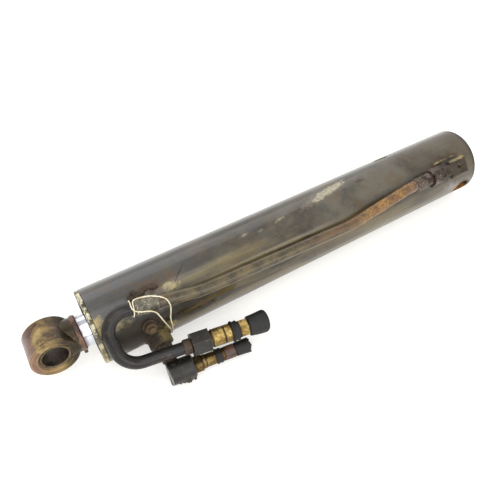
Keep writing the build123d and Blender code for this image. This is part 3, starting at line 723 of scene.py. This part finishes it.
def rusted(name, dark, mid, light, scale=130, metallic=0.25, rough=0.62, depth=0.0009,
           spots=(), specks=None):
    """Rusty or dirty steel of three colours, with crust in its relief.

    Each spot is a centre, three radii and a colour; specks is the colour of its fine flecks.
    """
    m = Nodes(name)
    broad = m.noise(scale * 0.35, 7, 0.65)
    crust = m.noise(scale, 9, 0.75)
    fine = m.noise(scale * 4, 5, 0.7)
    colour = m.mix(m.span(broad, 0.36, 0.6), dark, mid)
    colour = m.mix(m.span(crust, 0.55, 0.72), colour, light)
    edge = m.times(m.worn_edges(0.0011), m.span(crust, 0.35, 0.55, 0.2, 1.0))
    colour = m.mix(m.times(edge, 0.7), colour, light)
    for centre, radii, tone in spots:
        colour = m.mix(m.times(m.near(centre, radii, 0.5, 90), 0.85), colour, tone)
    if specks:
        flecks = m.times(m.span(fine, 0.55, 0.62, 0, 0.85), m.span(broad, 0.45, 0.56))
        colour = m.mix(flecks, colour, specks)
    height = m.plus(m.times(crust, 0.7), m.times(fine, 0.3))
    m.bump(height, depth, 0.6)
    return m.finish(colour, m.span(crust, 0.3, 0.7, rough - 0.14, rough + 0.18), metallic)


def pipe_rust():
    """Long pipe: olive-brown paint, orange where it has rusted, brown beside the cap block."""
    m = Nodes("pipe_rust")
    x = m.split()[0]
    cloud = m.noise(60, 7, 0.68)
    fine = m.noise(420, 6, 0.7)
    streak = m.noise(120, 5, 0.6, m.stretch((0.25, 3, 3)))
    plain = m.mix(m.span(cloud, 0.36, 0.66), (0.03, 0.021, 0.008), (0.105, 0.078, 0.03))
    plain = m.mix(m.span(streak, 0.58, 0.7, 0, 0.7), plain, (0.19, 0.11, 0.04))
    plain = m.mix(m.span(fine, 0.62, 0.72, 0, 0.5), plain, (0.03, 0.024, 0.014))
    orange = m.mix(m.span(cloud, 0.35, 0.62), (0.12, 0.052, 0.01), (0.34, 0.175, 0.034))
    orange = m.mix(m.span(streak, 0.44, 0.34, 0, 0.6), orange, (0.2, 0.125, 0.045))
    orange = m.mix(m.span(fine, 0.46, 0.56, 0, 0.8), orange, (0.075, 0.032, 0.014))
    zone = m.plus(x, m.times(m.minus(cloud, 0.5), 0.1))
    share = m.times(m.span(zone, 0.25, 0.19), m.span(zone, 0.112, 0.126))
    brown = m.mix(m.span(fine, 0.4, 0.62), (0.05, 0.028, 0.02), (0.17, 0.115, 0.085))
    plain = m.mix(m.span(zone, 0.14, 0.118), plain, brown)
    half_rust = m.times(m.span(zone, 0.33, 0.25), m.span(streak, 0.42, 0.6))
    colour = m.mix(m.times(half_rust, 0.7), plain, (0.15, 0.072, 0.03))
    colour = m.mix(share, colour, orange)
    rough = m.blend(share, m.span(cloud, 0.3, 0.7, 0.28, 0.44), 0.5)
    m.bump(m.plus(m.times(fine, 0.5), m.times(cloud, 0.5)), 0.0005, 0.4)
    return m.finish(colour, rough, 0.1, 0.5, 0.3, 0.18)


def pipe_black():
    """Loop pipe: satin black, dusty on top, rubbed brown in places."""
    m = Nodes("pipe_black")
    cloud = m.noise(55, 7, 0.66)
    fine = m.noise(500, 5, 0.65)
    colour = m.mix(m.span(cloud, 0.34, 0.7), (0.006, 0.005, 0.005), (0.017, 0.015, 0.014))
    colour = m.mix(m.span(m.noise(90, 8, 0.72), 0.54, 0.7, 0, 0.7), colour, (0.085, 0.048, 0.03))
    colour = m.mix(m.span(fine, 0.66, 0.76, 0, 0.5), colour, (0.13, 0.11, 0.08))
    m.bump(m.plus(m.times(fine, 0.4), cloud), 0.0003, 0.25)
    return m.finish(colour, m.span(cloud, 0.3, 0.72, 0.24, 0.36), 0.0, 0.36)


# grooves and shoulders, dirty and darkened with painted shade: from and to in mm along a coupler's
# line, and softness
GROOVES_1 = ((119.2, 120.8, 0.5), (100, 105.2, 0.7), (128.6, 132.5, 0.7),
             (138.6, 140.4, 0.7), (150.4, 154, 0.7))
GROOVES_2 = ((30, 33, 0.8), (40.9, 42.6, 0.6), (46.2, 47.4, 0.6), (58.6, 60, 0.6),
             (66, 71.5, 0.6))


def grooves(m, start, direction, bands):
    """Mask of a coupler's grooves, dirty and darkened with painted shade."""
    groove_dirt_and_shade = m.stripe(start, direction, *bands[0])
    for band in bands[1:]:
        groove_dirt_and_shade = m.most(groove_dirt_and_shade, m.stripe(start, direction, *band))
    return groove_dirt_and_shade


def brass():
    """Tarnished brass, with dirty grooves darkened by painted shade and bright rubbed edges; coupler
    2 is darker, painted shade.
    """
    m = Nodes("fitting_brass")
    cloud = m.noise(75, 7, 0.68)
    fine = m.noise(420, 6, 0.7)
    colour = m.mix(m.span(cloud, 0.38, 0.62), (0.2, 0.125, 0.035), (0.5, 0.36, 0.125))
    tarnish = m.span(m.noise(130, 7, 0.72), 0.48, 0.66, 0, 0.9)
    colour = m.mix(tarnish, colour, (0.075, 0.045, 0.016))
    edge = m.times(m.worn_edges(0.0012), m.span(cloud, 0.3, 0.5, 0.3, 1))
    colour = m.mix(m.times(edge, 0.75), colour, (0.78, 0.62, 0.28))
    colour = m.mix(m.span(fine, 0.56, 0.68, 0, 0.7), colour, (0.06, 0.038, 0.016))
    # coupler 1 lies above these heights and coupler 2 below them
    z = m.split()[2]
    upper = m.times(grooves(m, LEG_START, LEG_DIR, GROOVES_1), m.span(z, -0.0195, -0.0165))
    lower = m.times(grooves(m, BLOCK_START, BLOCK_DIR, GROOVES_2), m.span(z, -0.0185, -0.0215))
    groove_dirt_and_shade = m.most(upper, lower)
    # dirty grooves, darkened further with painted shade
    colour = m.mix(m.times(groove_dirt_and_shade, 0.9), colour, (0.03, 0.02, 0.01))
    # coupler 2, the lower one, darkened: painted shade
    shade = m.times(m.span(z, -0.0185, -0.0215, 0, 0.84), m.span(fine, 0.36, 0.56, 0.6, 1.0))
    colour = m.mix(shade, colour, (0.07, 0.043, 0.017))
    m.bump(m.minus(m.plus(m.times(fine, 0.5), cloud), groove_dirt_and_shade), 0.0005, 0.5)
    return m.finish(colour, m.span(cloud, 0.3, 0.7, 0.46, 0.28), 0.8)


def rubber(name, dark, light, scuff):
    """Dull rubber between two colours, with paler scuffs."""
    m = Nodes(name)
    cloud = m.noise(90, 6, 0.64)
    grain = m.noise(900, 4, 0.6)
    marks = m.noise(140, 7, 0.72, m.stretch((0.5, 1.6, 1.6)))
    colour = m.mix(m.span(cloud, 0.35, 0.68), dark, light)
    colour = m.mix(m.span(marks, 0.6, 0.72, 0, 0.4), colour, scuff)
    m.bump(m.plus(m.times(grain, 0.5), cloud), 0.0004, 0.4)
    return m.finish(colour, m.span(cloud, 0.3, 0.7, 0.5, 0.72), 0.0, 0.4)


def plastic(name, first, second):
    """Satin plastic, clouded between two colours."""
    m = Nodes(name)
    cloud = m.noise(120, 6, 0.65)
    colour = m.mix(m.span(cloud, 0.36, 0.66), first, second)
    m.bump(m.noise(700, 4, 0.6), 0.0002, 0.3)
    return m.finish(colour, m.span(cloud, 0.3, 0.7, 0.3, 0.52), 0.0, 0.5)


def cotton():
    """Natural string: cream with darker hollows between its strands."""
    m = Nodes("string_cotton")
    fibre = m.noise(1600, 3, 0.6)
    tint = m.noise(160, 4, 0.6)
    colour = m.mix(m.span(tint, 0.35, 0.7), (0.62, 0.52, 0.33), (0.8, 0.74, 0.58))
    colour = m.mix(m.span(fibre, 0.42, 0.3, 0, 0.5), colour, (0.4, 0.32, 0.18))
    m.bump(fibre, 0.0002, 0.6)
    m.shader.inputs["Sheen Weight"].default_value = 0.3
    return m.finish(colour, 0.9, 0.0, 0.2)


BOSS_GOLD = ((0.505, 0.053, -0.007), (0.012, 0.013, 0.011), (0.17, 0.13, 0.045))
PLUG_BROWN = ((0.522, 0.056, 0.0195), (0.009, 0.009, 0.009), (0.1, 0.062, 0.025))
BLOCK_END_GREY = (BLOCK_START, (0.0012, 0.03, 0.03), (0.3, 0.3, 0.27))

paints = {
    "barrel_paint": barrel_paint(),
    "gland_paint": gland_paint(),
    "worn_bush": worn_bush(),
    "bare_steel": machined_steel("bare_steel", (0.3, 0.27, 0.24), (0.55, 0.52, 0.48)),
    "hard_chrome": hard_chrome(),
    "seal_rubber": rubber("seal_rubber", (0.012, 0.012, 0.014), (0.03, 0.03, 0.034),
                          (0.12, 0.11, 0.1)),
    "guide_plastic": plastic("guide_plastic", (0.2, 0.11, 0.05), (0.32, 0.2, 0.1)),
    "eye_forging": eye_forging(),
    "port_steel": rusted("port_steel", (0.018, 0.012, 0.007), (0.045, 0.032, 0.018),
                         (0.15, 0.108, 0.048), spots=[BOSS_GOLD]),
    "fitting_steel": rusted("fitting_steel", (0.018, 0.011, 0.008), (0.075, 0.046, 0.032),
                            (0.2, 0.14, 0.1), 190, 0.4, 0.42, specks=(0.62, 0.56, 0.46)),
    "rusty_steel": rusted("rusty_steel", (0.02, 0.013, 0.009), (0.06, 0.038, 0.025),
                          (0.2, 0.14, 0.09), spots=[PLUG_BROWN]),
    # gold weld that stands in for the block's bright upper edge: painted highlight
    "weld_gold_highlight": rusted("weld_gold_highlight", (0.06, 0.045, 0.025), (0.24, 0.18, 0.08),
                        (0.6, 0.5, 0.27), 150, 0.3, 0.45),
    "pipe_rust": pipe_rust(),
    "pipe_black": pipe_black(),
    "sleeve_zinc": rusted("sleeve_zinc", (0.03, 0.024, 0.015), (0.14, 0.125, 0.09),
                          (0.42, 0.39, 0.3), 170, 0.25, 0.55, specks=(0.6, 0.57, 0.47)),
    "nut_black": rusted("nut_black", (0.008, 0.007, 0.006), (0.021, 0.019, 0.016),
                        (0.1, 0.07, 0.05), 110, 0.2, 0.42, 0.0005, [BLOCK_END_GREY]),
    "fitting_brass": brass(),
    "cap_rubber": rubber("cap_rubber", (0.006, 0.0055, 0.006), (0.018, 0.017, 0.017),
                         (0.06, 0.052, 0.045)),
    "lock_plastic": plastic("lock_plastic", (0.045, 0.02, 0.014), (0.12, 0.056, 0.04)),
    "string_cotton": cotton(),
}

for subpart in frame["record"]["subparts"]:
    shown = nodes[subpart["node"]].data
    shown.materials.clear()
    shown.materials.append(paints[subpart["material_slot"]])


# ---- weld beads and lumps ---------------------------------------------------
BLOCK_ANGLE = 42  # degrees round the barrel, from +Y
BLOCK_HALF = 0.012
BLOCK_FACE_R = 0.0686
BEAD_ASIDE = 0.8  # degrees
BEAD_OUT = 0.0006
BOSS_X, BOSS_ANGLE, BOSS_BEAD_R = 0.515, -20.3, 0.0157
NECK_X = 0.59975
COLLAR_R = 0.0205


def on_round(x, angle, lift=0.0):
    """Point on the barrel's outside by x and angle, lifted off it by mm."""
    a = math.radians(angle)
    r = BARREL_R + lift * MM
    return Vector((x, r * math.cos(a), r * math.sin(a)))


def steps(low, high, count):
    """Evenly spaced numbers from low to high, both included."""
    return [low + (high - low) * k / (count - 1) for k in range(count)]


def lengthways(angle, first, last, count, swing=0.0, waves=0.0, lift=0.0):
    """Points along the barrel at one angle, which may swing to and fro by degrees."""
    return [on_round(x, angle + swing * math.sin(x * waves), lift)
            for x in steps(first, last, count)]


def crossways(x, first, last, count):
    """Points round the barrel at one x."""
    return [on_round(x, angle) for angle in steps(first, last, count)]


def add_bead(name, path, radius, slot="port_steel", paint=None, **settings):
    """Weld on the barrel's body; its slot is that of the steel it belongs to."""
    return add_piece(name, bead(name, path, radius, **settings), "barrel", slot, paint)


half_turn = math.degrees(math.asin(BLOCK_HALF / BARREL_R))
top_edge = BLOCK_ANGLE + half_turn + BEAD_ASIDE
low_edge = BLOCK_ANGLE - half_turn - BEAD_ASIDE
top_path = lengthways(top_edge, block_low.x - 0.001, block_high.x + 0.006, 60)
low_path = lengthways(low_edge, block_low.x, block_high.x, 48)
cap_path = crossways(block_low.x - BEAD_OUT, low_edge, top_edge, 34)
rod_path = crossways(block_high.x + BEAD_OUT, low_edge, top_edge, 34)
# the top bead is gold: painted highlight along the block's upper edge
add_bead("weld_block_top", top_path, 2.3, paint="weld_gold_highlight", seed=1.0)
add_bead("weld_block_low", low_path, 2.2, seed=2.0)
add_bead("weld_block_cap", cap_path, 2.2, seed=3.0)
add_bead("weld_block_rod", rod_path, 2.2, seed=4.0)


def on_leg(distance):
    """Point on coupler 1's line, in mm from the start of its pipe leg."""
    return LEG_START + LEG_DIR * (distance * MM)


def on_block(distance):
    """Point on coupler 2's line, in mm from the elbow block's end."""
    return BLOCK_START + BLOCK_DIR * (distance * MM)


below_block = Vector((0, 0.0105, -0.0062))
elbow_path = [on_block(d) + below_block for d in steps(6, 29, 44)]
add_bead("weld_elbow", elbow_path, 4.8, seed=13.0, lumps=0.9, flat=0.9, sides=20)

boss_path = []
for turn in steps(0, 360, 73):
    along = BOSS_BEAD_R * math.cos(math.radians(turn))
    round_it = BOSS_BEAD_R * math.sin(math.radians(turn))
    boss_path.append(on_round(BOSS_X + along, BOSS_ANGLE + math.degrees(round_it / BARREL_R)))
add_bead("weld_boss", boss_path, 1.9, seed=6.0)

# the tab that holds the sleeve, and the lumps of weld beside it
tab_path = lengthways(66.0, 0.5115, 0.5335, 48, swing=1.2, waves=260, lift=0.8)
tab = bead("tab", tab_path, 4.6, sides=20, seed=7.0, lumps=0.5, flat=0.6)
add_piece("tab", tab, "barrel", "rusty_steel", replaces=["pipe_tab"])
upper_path = lengthways(69.5, 0.495, 0.513, 36, swing=1.8, waves=300)
add_bead("weld_tab_upper", upper_path, 4.2, "rusty_steel", seed=9.0, lumps=0.6, flat=0.6, sides=20)
end_path = lengthways(71, 0.5215, 0.5285, 20)
add_bead("weld_tab_end", end_path, 3.2, "rusty_steel", seed=8.0, lumps=0.6, flat=0.8, sides=16)

# gold strip of weld along the block's upper edge, bright as a painted highlight of that edge
out_way = Vector((0, math.cos(math.radians(BLOCK_ANGLE)), math.sin(math.radians(BLOCK_ANGLE))))
up_way = Vector((0, -out_way.z, out_way.y))
strip_at = out_way * BLOCK_FACE_R + up_way * 0.0113
strip_path = [strip_at + Vector((x, 0, 0))
              for x in steps(block_low.x + 0.002, block_high.x - 0.001, 40)]
add_bead("weld_block_edge", strip_path, 2.0, paint="weld_gold_highlight", seed=11.0, lumps=0.6)

# weld between the collar and the eye's neck
neck_path = [Vector((NECK_X, COLLAR_R * math.cos(a), COLLAR_R * math.sin(a)))
             for a in steps(0, 2 * math.pi, 73)]
add_piece("weld_neck", bead("weld_neck", neck_path, 1.5, seed=12.0), "rod", "eye_forging",
          "port_steel")


# ---- coupler bands and dust caps --------------------------------------------
# where each starts, in mm along its coupler's line
BAND_1_AT, CAP_1_AT = 129.4, 151.6
BAND_2_AT, CAP_2_AT = 59.4, 85.1
# the caps' ends change shape beyond these, in mm
SLANT_FROM = 17
TEAR_FROM = 17
TEAR_OUTSIDE = 6

band_1 = [(0.3, 9.75), (0.3, 11.9), (1.2, 12.9), (2.8, 12.9), (3.6, 11.6), (5.6, 11.4),
          (7.0, 12.2), (8.4, 12.1), (9.2, 11.2), (9.2, 9.75)]
mesh = lathe("band_1", on_leg(BAND_1_AT), LEG_DIR, band_1, 0.35, 0.009, looped=True)
add_piece("band_1", mesh, "barrel", "cap_rubber", replaces=["coupler_band_1"])
band_2 = [(0.2, 7.55), (0.2, 8.8), (1.0, 9.5), (2.6, 9.5), (3.4, 8.9), (5.0, 8.9),
          (5.8, 9.4), (7.2, 9.3), (7.8, 8.7), (7.8, 7.55)]
mesh = lathe("band_2", on_block(BAND_2_AT), BLOCK_DIR, band_2, 0.3, 0.008, looped=True)
add_piece("band_2", mesh, "barrel", "cap_rubber", replaces=["coupler_band_2"])


def slanted_end(distance, radius, turn):
    """Cap 1: its closed end is cut a little slantwise."""
    lean = 1.2 * math.sin(turn) * max(0, (distance - SLANT_FROM) / 8)
    return distance + lean - max(0, lean) * 0.4, radius


cap_1 = rounded([(18.4, 0.4), (18.4, 8.4), (0.2, 8.4), (0.2, 11.8), (1.8, 12.6), (3.2, 12.5),
                 (9, 13.0), (15, 13.7), (20, 14.1), (22.9, 13.9), (24.7, 12.4), (24.9, 6),
                 (24.9, 0.4)], 1.2)
mesh = lathe("cap_1", on_leg(CAP_1_AT), LEG_DIR, cap_1, 0.8, 0.009, shape=slanted_end)
add_piece("cap_1", mesh, "dust_cap_1", "cap_rubber", replaces=["dust_cap_1"])


def torn_end(distance, radius, turn):
    """Cap 2: its end has perished into a ragged rim."""
    if distance < TEAR_FROM or radius < TEAR_OUTSIDE:
        return distance, radius
    tear = noise.noise(Vector((math.cos(turn) * 3.1, math.sin(turn) * 3.1, radius * 0.3)))
    fray = noise.noise(Vector((math.cos(turn) * 9.0, math.sin(turn) * 9.0, radius)))
    share = (distance - TEAR_FROM) / 3
    return distance - share * (0.9 + 2.2 * tear + 0.8 * fray), radius + share * 0.5 * fray


cap_2 = rounded([(14.4, 0.4), (14.4, 7.1), (0.2, 7.1), (0.2, 8.5), (1.6, 9.0), (3, 8.6),
                 (8, 8.9), (14, 9.2), (17, 9.3), (18.6, 9.3), (20, 9.1), (20, 8.2),
                 (18.5, 7.4), (17, 6.6), (16.6, 0.4)], 0.7)
mesh = lathe("cap_2", on_block(CAP_2_AT), BLOCK_DIR, cap_2, 0.4, 0.007, shape=torn_end)
add_piece("cap_2", mesh, "dust_cap_2", "cap_rubber", replaces=["dust_cap_2"])

# small locking screw low on the collar
COLLAR_X = 0.5962
SCREW_TURN = math.radians(-38)
screw_out = Vector((0, math.cos(SCREW_TURN), math.sin(SCREW_TURN)))
screw_start = Vector((COLLAR_X, 0, 0)) + screw_out * COLLAR_R
screw = rounded([(0, 0.3), (0, 2.1), (4.6, 2.1), (5.2, 1.5), (5.2, 0.8), (4.0, 0.6), (4.0, 0.2)], 0.3)
mesh = lathe("collar_screw", screw_start, screw_out, screw, 0.1, 0.002, segments=24)
add_piece("collar_screw", mesh, "rod", "fitting_steel")


# ---- string -----------------------------------------------------------------
string_line = nurbs_points(STRING_ROUTE)
twist = twisted("string", divided(string_line, STRING_STEP), STRING_D)
string = add_piece("string", twist, "barrel", "string_cotton", replaces=["tie_string"])
